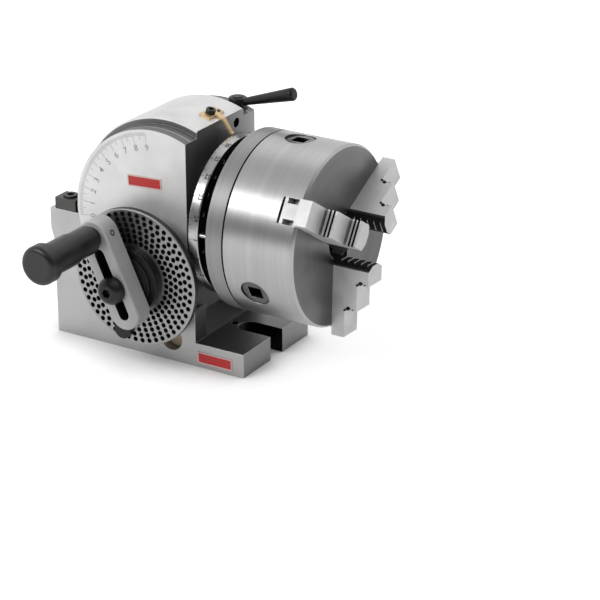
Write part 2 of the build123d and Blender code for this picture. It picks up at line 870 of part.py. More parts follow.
# Three jaws with three steps each, as (length, height) from the middle outwards
for number, angle in enumerate(jaw_angles, start=1):
    jaw_bottom = chuck_front - jaw_slot_depth + jaw_floor_gap
    jaw_width = jaw_slot_width - 2 * slide_fit
    jaw_end = jaw_opening + sum(length for length, height in jaw_steps)
    base_end = chuck_radius - jaw_base_inset
    with BuildPart() as jaw:
        with BuildSketch(radial_section(angle)):
            inner = jaw_opening
            for length, height in jaw_steps:
                with Locations(((jaw_bottom + chuck_front + height) / 2, inner + length / 2)):
                    Rectangle(chuck_front + height - jaw_bottom, length)
                inner += length
            outer = jaw_opening
            for (length, height), (_, next_height) in zip(jaw_steps, jaw_steps[1:]):
                outer += length
                with Locations((chuck_front + next_height, outer)):
                    Circle(jaw_relief, mode=Mode.SUBTRACT)
                for share in jaw_groove_shares:
                    with Locations((chuck_front + next_height + share * (height - next_height), outer)):
                        Rectangle(jaw_groove, 2 * jaw_groove, mode=Mode.SUBTRACT)
            for row in range(grip_groove_count):
                grip_top = chuck_front + jaw_steps[0][1]
                with Locations((grip_top - (row + 0.5) * grip_groove_pitch, jaw_opening)):
                    Circle(grip_groove_radius, mode=Mode.SUBTRACT)
            with Locations(((jaw_bottom + chuck_front) / 2, (base_end + jaw_end) / 2)):
                Rectangle(chuck_front - jaw_bottom, jaw_end - base_end, mode=Mode.SUBTRACT)
        extrude(amount=jaw_width / 2, both=True)
        with BuildSketch(radial_face(angle, chuck_front - rib_front_depth + slide_fit)):
            for side in (-1, 1):
                with Locations((side * (jaw_slot_width - rib_depth) / 2, (jaw_opening + jaw_end) / 2)):
                    Rectangle(rib_depth + 2 * slide_fit, jaw_end - jaw_opening)
        extrude(amount=rib_front_depth - rib_rear_depth - 2 * slide_fit, mode=Mode.SUBTRACT)
        with BuildSketch(radial_face(angle, jaw_bottom)):
            with BuildLine():
                slope = (jaw_slot_width - jaw_nose_width) / 2 * tan(radians(jaw_nose_slope))
                Polyline(
                    (-jaw_nose_width / 2, jaw_opening),
                    (jaw_nose_width / 2, jaw_opening),
                    (jaw_slot_width / 2, jaw_opening + slope),
                    (jaw_slot_width / 2, jaw_end),
                    (-jaw_slot_width / 2, jaw_end),
                    (-jaw_slot_width / 2, jaw_opening + slope),
                    close=True,
                )
            make_face()
        extrude(amount=chuck_front + jaw_steps[0][1] - jaw_bottom, mode=Mode.INTERSECT)
    save(jaw, f"jaw_{number}")

# Key pinions between the jaws, with square sockets
for number, angle in enumerate(pinion_angles, start=1):
    turn = radians(angle)
    outwards = (0, cos(turn), sin(turn))
    head = (pinion_x, pinion_outer * cos(turn), centre_height + pinion_outer * sin(turn))
    with BuildPart() as pinion:
        with BuildSketch(Plane(head, (1, 0, 0), outwards)):
            Circle(pinion_radius)
        extrude(amount=-(pinion_outer - pinion_inner))
        chamfer(pinion.edges().filter_by(GeomType.CIRCLE), pinion_edge)
        with BuildSketch(Plane(head, (1, 0, 0), outwards)):
            Rectangle(socket_size, socket_size)
        extrude(amount=-socket_depth, mode=Mode.SUBTRACT)
    save(pinion, f"pinion_{number}")

# Brass pointer from the top of the drum to the dial's rim
with BuildPart() as pointer:
    touch = centre_height + pointer_lift
    bend = nose_x + pointer_bend
    with BuildSketch(Plane.XZ.offset(-pointer_far)):
        with BuildLine():
            Polyline(
                (pointer_rear, pointer_line(pointer_rear)),
                (bend, pointer_line(bend)),
                (dial_rear - pointer_bend, touch),
                (pointer_tip, touch),
                (pointer_tip, touch + pointer_tip_height),
                (dial_rear - pointer_bend / 2, touch + pointer_thickness),
                (bend + pointer_bend, pointer_line(bend) + pointer_thickness),
                (pointer_rear, pointer_line(pointer_rear) + pointer_thickness),
                close=True,
            )
        make_face()
    extrude(amount=pointer_far - pointer_near)
    with BuildSketch(Plane.XY.offset(touch)):
        with BuildLine():
            Polyline(
                (pointer_rear, pointer_near),
                (pointer_front, pointer_near),
                (pointer_front, tongue_y - tongue_width / 2),
                (pointer_tip, tip_y - tip_width / 2),
                (pointer_tip, tip_y + tip_width / 2),
                (pointer_front, tongue_y + tongue_width / 2),
                (pointer_front, pointer_far),
                (pointer_rear, pointer_far),
                close=True,
            )
        make_face()
    extrude(amount=pointer_line(pointer_rear) + pointer_thickness - touch, mode=Mode.INTERSECT)
save(pointer, "pointer")

# Spindle lock on the rear flange: stud, washer and a lever that swings on the stud
lock_plane = Plane((lock_x, lock_y, centre_height + lock_seat), (1, 0, 0), (0, 0, 1))
hub_bottom = lock_washer_height + free_gap
with BuildPart() as lock_stud:
    with BuildSketch(lock_plane):
        Circle(lock_stud_radius)
    extrude(amount=hub_bottom + lock_hub_height - lock_hub_edge + lock_stud_end)
    with BuildSketch(lock_plane):
        Circle(lock_stud_radius)
    extrude(amount=-(lock_stud_depth - free_gap))
save(lock_stud, "lock_stud")

with BuildPart() as lock_washer:
    with BuildSketch(lock_plane):
        Circle(lock_washer_radius)
        Circle(lock_stud_radius + location_fit, mode=Mode.SUBTRACT)
    extrude(amount=lock_washer_height)
save(lock_washer, "lock_washer")

with BuildPart() as lock_lever:
    rise = radians(lever_rise)
    with BuildSketch(lock_plane.offset(hub_bottom)):
        Circle(lock_hub_radius)
    extrude(amount=lock_hub_height)
    fillet(lock_lever.edges().sort_by(Axis.Z)[-1], lock_hub_edge)
    root = lock_plane.offset(hub_bottom + lock_hub_height / 2).origin
    along = Vector(cos(rise), 0, sin(rise))
    with BuildSketch(Plane(root, (0, 1, 0), along)):
        Circle(lever_root_radius)
    with BuildSketch(Plane(root + along * lever_length, (0, 1, 0), along)):
        Circle(lever_tip_radius)
    loft()
    fillet(lock_lever.edges().filter_by(GeomType.CIRCLE).sort_by(Axis.X)[-1], lever_rounding)
    with BuildSketch(lock_plane.offset(hub_bottom)):
        Circle(lock_stud_radius + running_fit)
    extrude(amount=lock_hub_height, mode=Mode.SUBTRACT)
save(lock_lever, "lock_lever")
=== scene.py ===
import bmesh
import bpy
from math import cos, pi, radians, sin
from mathutils import Matrix, Vector


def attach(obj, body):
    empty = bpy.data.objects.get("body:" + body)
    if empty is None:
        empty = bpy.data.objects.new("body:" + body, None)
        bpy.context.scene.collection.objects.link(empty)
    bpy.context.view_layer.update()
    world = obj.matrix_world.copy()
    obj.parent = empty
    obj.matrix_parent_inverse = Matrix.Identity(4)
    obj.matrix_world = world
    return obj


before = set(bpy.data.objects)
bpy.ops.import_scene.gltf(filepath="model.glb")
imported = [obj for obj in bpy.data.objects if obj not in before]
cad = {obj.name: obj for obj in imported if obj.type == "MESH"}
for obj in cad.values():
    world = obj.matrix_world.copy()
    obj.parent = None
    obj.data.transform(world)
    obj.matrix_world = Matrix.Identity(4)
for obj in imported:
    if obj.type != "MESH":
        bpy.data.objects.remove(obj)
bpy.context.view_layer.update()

scene = bpy.context.scene
print("loaded", len(cad), "solids")

# where the machine's own axes and faces lie, in metres, and the crank's lean in degrees
layout = {
    "centreHeight": 0.1,
    "headFace": -0.04285,
    "wormX": -0.0055,
    "wormZ": 0.065,
    "dialRadius": 0.056,
    "dialRear": 0.0348,
    "dialFront": 0.0426,
    "chuckFront": 0.1201,
    "chuckRear": 0.0661,
    "flangeRadius": 0.0653,
    "cheekInner": 0.02905,
    "noseX": 0.0255,
    "slotHalf": 0.008,
    "cheekFront": 0.0305,
    "noseHole": (0.0, 0.0198, 0.1573),
    "crankLean": 25.0,
}
spindleCentre = (0.0, 0.0, layout["centreHeight"])
wormCentre = (layout["wormX"], 0.0, layout["wormZ"])


# shader helpers: each makes one node and joins its inputs
def addNode(tree, kind, links=(), **settings):
    node = tree.nodes.new(kind)
    for key, value in settings.items():
        setattr(node, key, value)
    for socket, source in dict(links).items():
        target = node.inputs[socket]
        if isinstance(source, bpy.types.NodeSocket):
            tree.links.new(source, target)
        else:
            target.default_value = source
    return node


def calc(tree, operation, a, b=0.0, clamp=False):
    return addNode(tree, "ShaderNodeMath", {0: a, 1: b}, operation=operation, use_clamp=clamp).outputs[0]


def blendColour(tree, mask, a, b):
    return addNode(tree, "ShaderNodeMix", {0: mask, 6: a, 7: b}, data_type="RGBA").outputs[2]


def remap(tree, value, low, high, outLow=0.0, outHigh=1.0):
    return addNode(tree, "ShaderNodeMapRange", {0: value, 1: low, 2: high, 3: outLow, 4: outHigh}).outputs[0]


def grey(level, warm=0.0):
    return (level * (1 + warm), level, level * (1 - warm), 1.0)


def addSockets(tree, inputs, outputs):
    for label, kind, value in inputs:
        socket = tree.interface.new_socket(label, in_out="INPUT", socket_type=kind)
        if value is not None:
            socket.default_value = value
    for label, kind in outputs:
        tree.interface.new_socket(label, in_out="OUTPUT", socket_type=kind)
    return tree, tree.nodes.new("NodeGroupInput").outputs, tree.nodes.new("NodeGroupOutput").inputs


def startGroup(name, inputs, outputs):
    return addSockets(bpy.data.node_groups.new(name, "ShaderNodeTree"), inputs, outputs)


number, vector = "NodeSocketFloat", "NodeSocketVector"


# fine straight scratches left by a surface grinder
def makeGrindMarks():
    group, given, result = startGroup(
        "grindMarks",
        (("Position", vector, None), ("Stretch", vector, (1.0, 1.0, 1.0)), ("Scale", number, 900.0)),
        (("Marks", number), ("Cloud", number)),
    )
    stretched = addNode(group, "ShaderNodeVectorMath", {0: given["Position"], 1: given["Stretch"]},
                        operation="MULTIPLY").outputs[0]
    fine = addNode(group, "ShaderNodeTexNoise", {"Vector": stretched, "Scale": given["Scale"], "Detail": 3.0})
    wide = addNode(group, "ShaderNodeTexNoise", {"Vector": given["Position"], "Scale": 38.0, "Detail": 4.0})
    group.links.new(fine.outputs[0], result["Marks"])
    group.links.new(wide.outputs[0], result["Cloud"])
    return group


# rings left by the lathe, from the place along an axis and the distance from it
def makeTurnedRings():
    group, given, result = startGroup(
        "turnedRings",
        (("Position", vector, None), ("Centre", vector, (0.0, 0.0, 0.0)), ("Fineness", number, 2600.0)),
        (("Rings", number), ("Bands", number)),
    )
    local = addNode(group, "ShaderNodeVectorMath", {0: given["Position"], 1: given["Centre"]}, operation="SUBTRACT")
    parts = addNode(group, "ShaderNodeSeparateXYZ", {0: local.outputs[0]}).outputs
    radius = calc(group, "SQRT", calc(group, "ADD", calc(group, "MULTIPLY", parts[1], parts[1]),
                                      calc(group, "MULTIPLY", parts[2], parts[2])))
    place = addNode(group, "ShaderNodeCombineXYZ", {0: parts[0], 1: radius, 2: 0.0}).outputs[0]
    rings = addNode(group, "ShaderNodeTexNoise", {"Vector": place, "Scale": given["Fineness"], "Detail": 2.0})
    bands = addNode(group, "ShaderNodeTexNoise", {"Vector": place, "Scale": 190.0, "Detail": 2.0})
    group.links.new(rings.outputs[0], result["Rings"])
    group.links.new(bands.outputs[0], result["Bands"])
    return group


# worn corners with a painted highlight, where the softened normal leaves the flat one, and painted shade in crevices
edgeAndShadeLook = {"flat": 0.985, "sharp": 0.8, "patch": (0.25, 0.6), "samples": 6}


def makeEdgeWear():
    group, given, result = startGroup(
        "wearSheenAndShade",
        (("Radius", number, 0.0005), ("Position", vector, None), ("Reach", number, 0.004),
         ("Open", number, 0.62), ("Shut", number, 0.12)),
        (("Edge", number), ("Normal", vector), ("CreviceShade", number)),
    )
    soft = addNode(group, "ShaderNodeBevel", {"Radius": given["Radius"]}, samples=edgeAndShadeLook["samples"]).outputs[0]
    flat = addNode(group, "ShaderNodeNewGeometry").outputs["Normal"]
    same = addNode(group, "ShaderNodeVectorMath", {0: soft, 1: flat}, operation="DOT_PRODUCT").outputs["Value"]
    patch = addNode(group, "ShaderNodeTexNoise", {"Vector": given["Position"], "Scale": 160.0, "Detail": 3.0})
    edge = remap(group, same, edgeAndShadeLook["flat"], edgeAndShadeLook["sharp"])
    # corners lightened: partly wear, partly a painted highlight
    wornSheen = calc(group, "MULTIPLY", edge, remap(group, patch.outputs[0], *edgeAndShadeLook["patch"]))
    shade = addNode(group, "ShaderNodeAmbientOcclusion", {"Distance": given["Reach"]}, samples=edgeAndShadeLook["samples"],
                    only_local=True)
    group.links.new(wornSheen, result["Edge"])
    group.links.new(soft, result["Normal"])
    # painted shade: ambient occlusion darkens the crevices
    group.links.new(remap(group, shade.outputs["AO"], given["Open"], given["Shut"]), result["CreviceShade"])
    return group


# faint oil and handling marks
filmLook = {"low": 0.45, "high": 0.75}


def makeHandling():
    group, given, result = startGroup(
        "handling",
        (("Position", vector, None), ("Scale", number, 55.0), ("Amount", number, 0.5)),
        (("Film", number),),
    )
    smear = addNode(group, "ShaderNodeTexNoise", {"Vector": given["Position"], "Scale": given["Scale"],
                                                  "Detail": 5.0, "Distortion": 0.6})
    film = remap(group, smear.outputs[0], filmLook["low"], filmLook["high"])
    group.links.new(calc(group, "MULTIPLY", film, given["Amount"]), result["Film"])
    return group


grindMarks = makeGrindMarks()
turnedRings = makeTurnedRings()
wearSheenAndShade = makeEdgeWear()
handling = makeHandling()


class Finish:
    # one material with its Principled shader and the coordinates it reads
    def __init__(self, name, **values):
        self.material = bpy.data.materials.new(name)
        self.material.use_nodes = True
        self.tree = self.material.node_tree
        self.shader = self.tree.nodes["Principled BSDF"]
        for key, value in values.items():
            self.shader.inputs[key].default_value = value
        self.position = addNode(self.tree, "ShaderNodeTexCoord").outputs["Object"]
        self.axes = addNode(self.tree, "ShaderNodeSeparateXYZ", {0: self.position}).outputs
        # the face's direction in the piece's own frame, so that a moved body keeps its marks
        normal = addNode(self.tree, "ShaderNodeNewGeometry").outputs["True Normal"]
        turned = addNode(self.tree, "ShaderNodeVectorTransform", {0: normal}, vector_type="NORMAL",
                         convert_from="WORLD", convert_to="OBJECT")
        self.facing = addNode(self.tree, "ShaderNodeSeparateXYZ", {0: turned.outputs[0]}).outputs

    def group(self, tree, **values):
        node = addNode(self.tree, "ShaderNodeGroup", node_tree=tree)
        for key, value in values.items():
            node.inputs[key].default_value = value
        self.tree.links.new(self.position, node.inputs["Position"])
        return node.outputs

    def link(self, source, socket):
        self.tree.links.new(source, self.shader.inputs[socket])

    def bump(self, height, strength, distance, normal=None):
        links = {"Height": height, "Strength": strength, "Distance": distance}
        if normal is not None:
            links["Normal"] = normal
        self.link(addNode(self.tree, "ShaderNodeBump", links).outputs[0], "Normal")

    def math(self, operation, a, b=0.0, clamp=False):
        return calc(self.tree, operation, a, b, clamp)

    def both(self, a, b):
        return self.math("MULTIPLY", a, b)

    def above(self, value, limit):
        return self.math("GREATER_THAN", value, limit)

    def below(self, value, limit):
        return self.math("LESS_THAN", value, limit)

    def size(self, value):
        return self.math("ABSOLUTE", value)

    def step(self, value, low, high):
        return remap(self.tree, value, low, high)

    def squares(self, a, b):
        return self.math("ADD", self.math("MULTIPLY", a, a), self.math("MULTIPLY", b, b))

    def mixed(self, a, aShare, b, bShare):
        return self.math("ADD", self.math("MULTIPLY", a, aShare), self.math("MULTIPLY", b, bShare))

    def radiusAbout(self, centre, first, second):
        a = self.math("SUBTRACT", self.axes[first], centre[first])
        b = self.math("SUBTRACT", self.axes[second], centre[second])
        return self.math("SQRT", self.squares(a, b))

    def cloud(self, mask, span, high, low):
        return blendColour(self.tree, self.step(mask, *span), high, low)

    def coat(self, colour, mask, amount, tone):
        # lays a tone over the colour where the mask is, as far as the amount says
        return blendColour(self.tree, self.both(mask, amount), colour, tone)

    def vary(self, source, amount, base):
        return self.math("ADD", self.math("MULTIPLY", source, amount), base, clamp=True)


# ground grey iron of the base and the housing, with handling film and painted shade on some of its faces
groundLook = {
    "tone": 0.76, "toneLow": 0.67, "warmLow": 0.005, "cloud": (0.35, 0.7), "marks": 1500.0,
    "smears": 42.0, "smearAmount": 0.5, "film": 0.35, "filmTone": grey(0.42, 0.02), "filmSmooth": 0.08,
    "corner": 0.0006, "edge": 0.7, "edgeTone": grey(0.84), "creviceShade": 0.8, "creviceShadeTone": grey(0.03, 0.03),
    "rough": 0.35, "roughVary": 0.14, "bump": 0.12, "bumpDepth": 0.00004,
    "shadeTone": grey(0.05, 0.02), "square": (0.9, 0.97),
}
housingLook = {
    "sideSlack": 0.00015, "rimSlack": 0.00012, "shoulder": grey(0.17), "glintAt": 0.0362, "glintHalf": 0.00035,
    "glintTone": grey(0.55), "noseSlack": 0.0002, "shadeFrom": 0.045, "shadeTo": -0.005, "shadeLeast": 0.5, "shadeMost": 0.93,
    "holeSlack": 0.0003, "holeRadius": 0.0037, "holeTone": grey(0.006),
}
baseLook = {
    "slotSlack": 0.0002, "upright": (0.6, 0.4), "slotWallTone": grey(0.012), "endSlack": 0.0005, "endShade": 0.85,
    "topShade": 0.72, "tipShade": 0.7, "tipTone": grey(0.2),
}


def housingMarks(finish, colour):
    # dark shoulder behind the flange, with a painted highlight line in it
    look, tree = housingLook, finish.tree
    out = finish.size(finish.axes[1])
    outside = finish.above(out, layout["cheekInner"] - look["sideSlack"])
    rim = finish.above(finish.radiusAbout(spindleCentre, 0, 2), layout["flangeRadius"] - look["rimSlack"])
    glint = addNode(tree, "ShaderNodeMath", {0: out, 1: look["glintAt"], 2: look["glintHalf"]},
                   operation="COMPARE").outputs[0]
    colour = finish.coat(colour, outside, rim, blendColour(tree, glint, look["shoulder"], look["glintTone"]))
    # painted shade on the flat nose, darkest on the crank's side
    nose = finish.both(finish.step(finish.facing[0], *groundLook["square"]),
                       finish.above(finish.axes[0], layout["noseX"] - look["noseSlack"]))
    film = remap(tree, finish.axes[1], look["shadeFrom"], look["shadeTo"], look["shadeLeast"], look["shadeMost"])
    colour = finish.coat(colour, nose, film, groundLook["shadeTone"])
    # the blind hole in the nose is black inside
    sunk = finish.below(finish.axes[0], layout["noseX"] - look["holeSlack"])
    near = finish.below(finish.radiusAbout(layout["noseHole"], 1, 2), look["holeRadius"])
    return finish.coat(colour, sunk, near, look["holeTone"])


def baseMarks(finish, colour):
    # near-black walls of the hold-down slots
    look = baseLook
    within = finish.below(finish.size(finish.axes[1]), layout["slotHalf"] + look["slotSlack"])
    upright = finish.step(finish.size(finish.facing[2]), *look["upright"])
    colour = finish.coat(colour, within, upright, look["slotWallTone"])
    # painted shade under the chuck on the cheeks' ends, on the front lug's top and, lighter, on its tip
    cheekEnd = layout["cheekFront"] + look["endSlack"]
    forward = finish.step(finish.facing[0], *groundLook["square"])
    upward = finish.step(finish.facing[2], *groundLook["square"])
    lug = finish.above(finish.axes[0], cheekEnd)
    end = finish.both(forward, finish.below(finish.axes[0], cheekEnd))
    colour = finish.coat(colour, end, look["endShade"], groundLook["shadeTone"])
    colour = finish.coat(colour, finish.both(lug, upward), look["topShade"], groundLook["shadeTone"])
    return finish.coat(colour, finish.both(lug, forward), look["tipShade"], look["tipTone"])


def groundIron(name, stretch, ownMarks, bare, reach=0.004, tone=1.0):
    look = groundLook
    finish = Finish(name, Metallic=bare)
    marks = finish.group(grindMarks, Stretch=stretch, Scale=look["marks"])
    edgeAndShade = finish.group(wearSheenAndShade, Radius=look["corner"], Reach=reach)
    film = finish.group(handling, Scale=look["smears"], Amount=look["smearAmount"])["Film"]
    colour = finish.cloud(marks["Cloud"], look["cloud"], grey(look["tone"] * tone),
                          grey(look["toneLow"] * tone, look["warmLow"]))
    colour = finish.coat(colour, film, look["film"], look["filmTone"])
    colour = ownMarks(finish, colour)
    # corners lightened by wear and by a painted highlight
    colour = finish.coat(colour, edgeAndShade["Edge"], look["edge"], look["edgeTone"])
    # painted shade in crevices
    colour = finish.coat(colour, edgeAndShade["CreviceShade"], look["creviceShade"], look["creviceShadeTone"])
    finish.link(colour, "Base Color")
    rough = finish.vary(marks["Marks"], look["roughVary"], look["rough"])
    finish.link(finish.math("SUBTRACT", rough, finish.both(film, look["filmSmooth"]), clamp=True), "Roughness")
    finish.bump(marks["Marks"], look["bump"], look["bumpDepth"], edgeAndShade["Normal"])
    return finish.material


# lathe-turned steel: rings follow the spindle
turnedLook = {
    "tone": 0.47, "toneLow": 0.41, "coolLow": -0.004, "bands": (0.3, 0.7), "front": (0.7, 0.9), "smears": 30.0,
    "smearAmount": 0.4, "film": 0.3, "filmTone": grey(0.35, 0.02), "corner": 0.0005, "edge": 0.6,
    "edgeTone": grey(0.80),
    "creviceShade": 0.95, "dark": grey(0.012), "roughVary": 0.14, "roughDrop": 0.08, "bump": 0.1, "bumpDepth": 0.00003,
    "sheen": 0.6, "sheenTurn": 0.25,
}


def turnedSteel(name, rough, tone=1.0, frontShadeTone=1.0, dark=None, reach=0.004):
    look = turnedLook
    finish = Finish(name, Metallic=1.0, Anisotropic=look["sheen"], **{"Anisotropic Rotation": look["sheenTurn"]})
    rings = finish.group(turnedRings, Centre=spindleCentre)
    edgeAndShade = finish.group(wearSheenAndShade, Radius=look["corner"], Reach=reach)
    film = finish.group(handling, Scale=look["smears"], Amount=look["smearAmount"])["Film"]
    tangent = addNode(finish.tree, "ShaderNodeTangent", direction_type="RADIAL", axis="X")
    finish.link(tangent.outputs[0], "Tangent")
    colour = finish.cloud(rings["Bands"], look["bands"], grey(look["tone"] * tone),
                          grey(look["toneLow"] * tone, look["coolLow"]))
    # faces looking along the spindle can take a darker tone: painted shade on the chuck's front
    face = finish.cloud(rings["Bands"], look["bands"], grey(look["tone"] * frontShadeTone), grey(look["toneLow"] * frontShadeTone))
    colour = finish.cloud(finish.facing[0], look["front"], colour, face)
    colour = finish.coat(colour, film, look["film"], look["filmTone"])
    # corners lightened by wear and by a painted highlight
    colour = finish.coat(colour, edgeAndShade["Edge"], look["edge"], look["edgeTone"])
    # painted shade in crevices
    colour = finish.coat(colour, edgeAndShade["CreviceShade"], look["creviceShade"], look["dark"])
    if dark:
        colour = blendColour(finish.tree, dark(finish), colour, look["dark"])
    finish.link(colour, "Base Color")
    finish.link(finish.vary(rings["Rings"], look["roughVary"], rough - look["roughDrop"]), "Roughness")
    finish.bump(rings["Rings"], look["bump"], look["bumpDepth"], edgeAndShade["Normal"])
    return finish.material


seamLook = {"half": 0.00062}


def seamMask(finish):
    # oil in the joint between the adaptor and the chuck
    away = finish.size(finish.math("SUBTRACT", finish.axes[0], layout["chuckRear"]))
    return finish.below(away, seamLook["half"])


dialLook = {"flat": (0.8, 0.95), "slack": 0.0001}


def dialFaceMask(finish):
    # painted black ring on the dial's front, and its back
    flat = finish.step(finish.size(finish.facing[0]), *dialLook["flat"])
    front = finish.above(finish.axes[0], layout["dialFront"] - dialLook["slack"])
    rear = finish.below(finish.axes[0], layout["dialRear"] + dialLook["slack"])
    return finish.both(flat, finish.math("MAXIMUM", front, rear))


# ground bright steel of the small parts
brightLook = {
    "low": 0.85, "cloud": (0.35, 0.7), "marks": 1700.0, "smears": 90.0, "smearAmount": 0.5, "film": 0.4,
    "filmTone": grey(0.33, 0.02), "edge": 0.7, "creviceShade": 0.96, "creviceShadeTone": grey(0.010), "roughVary": 0.18,
    "roughDrop": 0.08, "darkRough": 0.2, "bump": 0.14, "bumpDepth": 0.00003,
}


def brightSteel(name, stretch, tone, rough, dark=None, darkTone=0.015, reach=0.004, bare=0.95, shut=0.12,
                edgeTone=0.8, wornSheen=0.00035):
    look = brightLook
    finish = Finish(name, Metallic=bare)
    marks = finish.group(grindMarks, Stretch=stretch, Scale=look["marks"])
    edgeAndShade = finish.group(wearSheenAndShade, Radius=wornSheen, Reach=reach, Shut=shut)
    film = finish.group(handling, Scale=look["smears"], Amount=look["smearAmount"])["Film"]
    colour = finish.cloud(marks["Cloud"], look["cloud"], grey(tone), grey(tone * look["low"]))
    colour = finish.coat(colour, film, look["film"], look["filmTone"])
    # corners lightened by wear and by a painted highlight
    colour = finish.coat(colour, edgeAndShade["Edge"], look["edge"], grey(edgeTone))
    # painted shade in crevices
    colour = finish.coat(colour, edgeAndShade["CreviceShade"], look["creviceShade"], look["creviceShadeTone"])
    roughness = finish.vary(marks["Marks"], look["roughVary"], rough - look["roughDrop"])
    if dark:
        mask = dark(finish)
        colour = blendColour(finish.tree, mask, colour, grey(darkTone))
        roughness = finish.math("ADD", roughness, finish.both(mask, look["darkRough"]), clamp=True)
    finish.link(colour, "Base Color")
    finish.link(roughness, "Roughness")
    finish.bump(marks["Marks"], look["bump"], look["bumpDepth"], edgeAndShade["Normal"])
    return finish.material


crankLook = {"slotHalf": 0.0043, "slotLow": -0.0228, "slotHigh": 0.0294, "wall": (0.6, 0.3)}


def crankSlotMask(finish):
    # oiled walls of the long slot, found along and across the leaning arm
    lean = radians(layout["crankLean"])
    x = finish.math("SUBTRACT", finish.axes[0], wormCentre[0])
    z = finish.math("SUBTRACT", finish.axes[2], wormCentre[2])
    across = finish.mixed(x, cos(lean), z, sin(lean))
    along = finish.mixed(z, cos(lean), x, -sin(lean))
    length = finish.both(finish.above(along, crankLook["slotLow"]), finish.below(along, crankLook["slotHigh"]))
    within = finish.both(finish.below(finish.size(across), crankLook["slotHalf"]), length)
    return finish.both(within, finish.step(finish.size(finish.facing[1]), *crankLook["wall"]))


plateLook = {"counts": (49, 47, 43, 41, 39, 37), "outer": 0.0455, "step": 0.00385, "start": 115.0, "shadeRing": 0.00178,
             "wall": (0.6, 0.3), "rim": (0.0482, 0.0484), "rimShare": 0.8}


def plateHoleMask(finish):
    # painted shade on the walls of the drilled holes, and a slightly weaker one on the plate's own edge
    wall = finish.step(finish.size(finish.facing[1]), *plateLook["wall"])
    radius = finish.radiusAbout(wormCentre, 0, 2)
    mask = finish.both(wall, remap(finish.tree, radius, *plateLook["rim"], 1.0, plateLook["rimShare"]))
    # painted shade in a ring round each hole, circle by circle
    angle = finish.math("ARCTAN2", finish.math("SUBTRACT", finish.axes[2], wormCentre[2]),
                        finish.math("SUBTRACT", finish.axes[0], wormCentre[0]))
    turn = finish.math("SUBTRACT", angle, radians(plateLook["start"]))
    for row, count in enumerate(plateLook["counts"]):
        circle = plateLook["outer"] - row * plateLook["step"]
        aside = finish.math("MULTIPLY", finish.math("PINGPONG", turn, pi / count), circle)
        away = finish.squares(aside, finish.math("SUBTRACT", radius, circle))
        mask = finish.math("MAXIMUM", mask, finish.below(away, plateLook["shadeRing"] ** 2))
    return mask


# a jaw's dark places, painted shade in grooves and spots, each given outwards from the axis and along from the chuck's
# front
jawLook = {"angles": (27.5, 147.5, 267.5),
           "shadedGrooves": (((0.0262, 0.0279), (0.0212, 0.0255)), ((0.0457, 0.0474), (0.0124, 0.0169))),
           "spots": ((0.0270, 0.0212), (0.0465, 0.0124)), "spot": 0.0018,
           "grip": (-0.3, -0.6), "gripFrom": 0.1, "sideInwards": 0.5, "sideForwards": 0.3}


def jawGripMask(finish):
    # the gripping ends, which look towards the spindle's axis, are dark
    radius = finish.radiusAbout(spindleCentre, 1, 2)
    height = finish.math("SUBTRACT", finish.axes[2], spindleCentre[2])
    inwards = finish.mixed(finish.facing[1], finish.math("DIVIDE", finish.axes[1], radius),
                           finish.facing[2], finish.math("DIVIDE", height, radius))
    mask = finish.both(finish.step(inwards, *jawLook["grip"]), finish.above(finish.axes[0], jawLook["gripFrom"]))
    # a jaw's own direction is the one it reaches furthest along
    reach = None
    for angle in jawLook["angles"]:
        along = finish.mixed(finish.axes[1], cos(radians(angle)), height, sin(radians(angle)))
        reach = along if reach is None else finish.math("MAXIMUM", reach, along)
    side = finish.both(finish.below(finish.size(inwards), jawLook["sideInwards"]),
                       finish.below(finish.size(finish.facing[0]), jawLook["sideForwards"]))
    level = finish.math("SUBTRACT", finish.axes[0], layout["chuckFront"])
    # painted shade in the two grooves of each step
    for (inner, outer), (low, high) in jawLook["shadedGrooves"]:
        deep = finish.both(finish.above(reach, inner), finish.below(reach, outer))
        within = finish.both(finish.above(level, low), finish.below(level, high))
        within = finish.both(within, finish.math("SUBTRACT", 1.0, side))
        mask = finish.math("MAXIMUM", mask, finish.both(deep, within))
    # painted shade: the relief in each step's corner ends in a dark spot on the jaw's sides
    for out, along in jawLook["spots"]:
        away = finish.squares(finish.math("SUBTRACT", reach, out), finish.math("SUBTRACT", level, along))
        spot = finish.both(side, finish.below(away, jawLook["spot"] ** 2))
        mask = finish.math("MAXIMUM", mask, spot)
    return mask


# blackened steel with bare metal at its corners
blackLook = {"bare": 0.55, "high": 2.2, "warm": 0.03, "cloud": (0.3, 0.7), "marks": 900.0, "smears": 120.0,
             "smearAmount": 0.6, "corner": 0.0004, "edge": 0.4, "edgeTone": grey(0.16), "roughVary": 0.2,
             "bump": 0.18, "bumpDepth": 0.00004}
even = (1.0, 1.0, 1.0)


def blackSteel(name, tone=0.014, rough=0.36):
    look = blackLook
    finish = Finish(name, Metallic=look["bare"])
    marks = finish.group(grindMarks, Stretch=even, Scale=look["marks"])
    edgeAndShade = finish.group(wearSheenAndShade, Radius=look["corner"])
    film = finish.group(handling, Scale=look["smears"], Amount=look["smearAmount"])["Film"]
    colour = finish.cloud(marks["Cloud"], look["cloud"], grey(tone), grey(tone * look["high"], look["warm"]))
    finish.link(finish.coat(colour, edgeAndShade["Edge"], look["edge"], look["edgeTone"]), "Base Color")
    finish.link(finish.vary(film, look["roughVary"], rough), "Roughness")
    finish.bump(marks["Marks"], look["bump"], look["bumpDepth"], edgeAndShade["Normal"])
    return finish.material


# moulded black plastic of the knob
plasticLook = {"tone": grey(0.010), "filmTone": grey(0.018, 0.02), "marks": 2600.0, "smears": 70.0, "smearAmount": 0.7,
               "rough": 0.34, "roughVary": 0.18, "bump": 0.12, "bumpDepth": 0.00005, "bend": 1.5}


